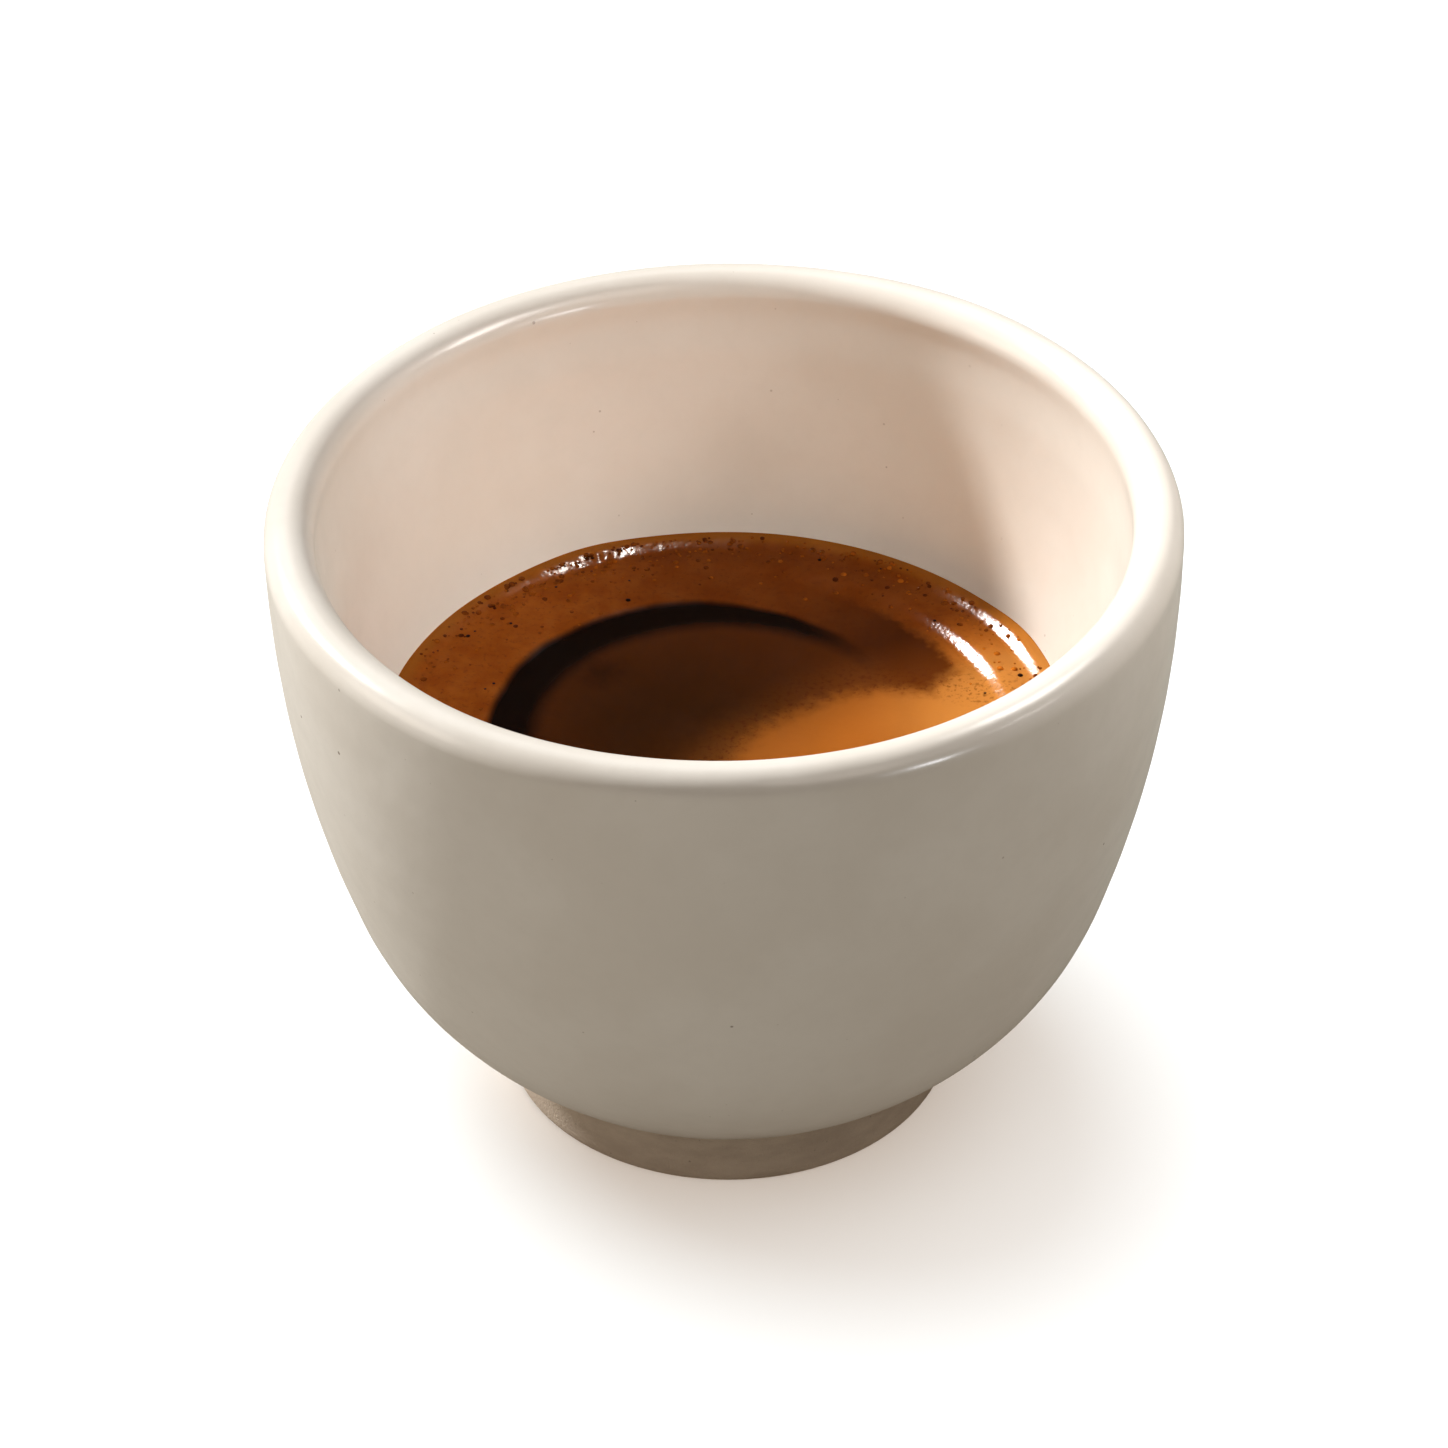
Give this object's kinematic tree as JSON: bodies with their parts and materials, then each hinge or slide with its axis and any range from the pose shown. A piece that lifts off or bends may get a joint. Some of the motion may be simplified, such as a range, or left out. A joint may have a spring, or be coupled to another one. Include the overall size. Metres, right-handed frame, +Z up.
{
  "type": "espresso shot in a cup",
  "caption": "Espresso shot with a patterned crema in a small thick-walled handleless ceramic cup on a bare foot ring.",
  "frame": {"origin": "on the standing surface, below the centre of the rim", "axes": "+Z up, out of the cup's mouth; +X to the side towards which the rim stands a little higher; +Y away from the front"},
  "size_m": [0.062, 0.062, 0.0475],
  "materials": {
    "glazed_stoneware": "soft gloss cream glaze with fine specks, bare foot ring",
    "espresso": "wet brown crema, darker in the middle"
  },
  "bodies": {
    "root": {"cup": "glazed_stoneware", "espresso": "espresso"}
  },
  "joints": []
}
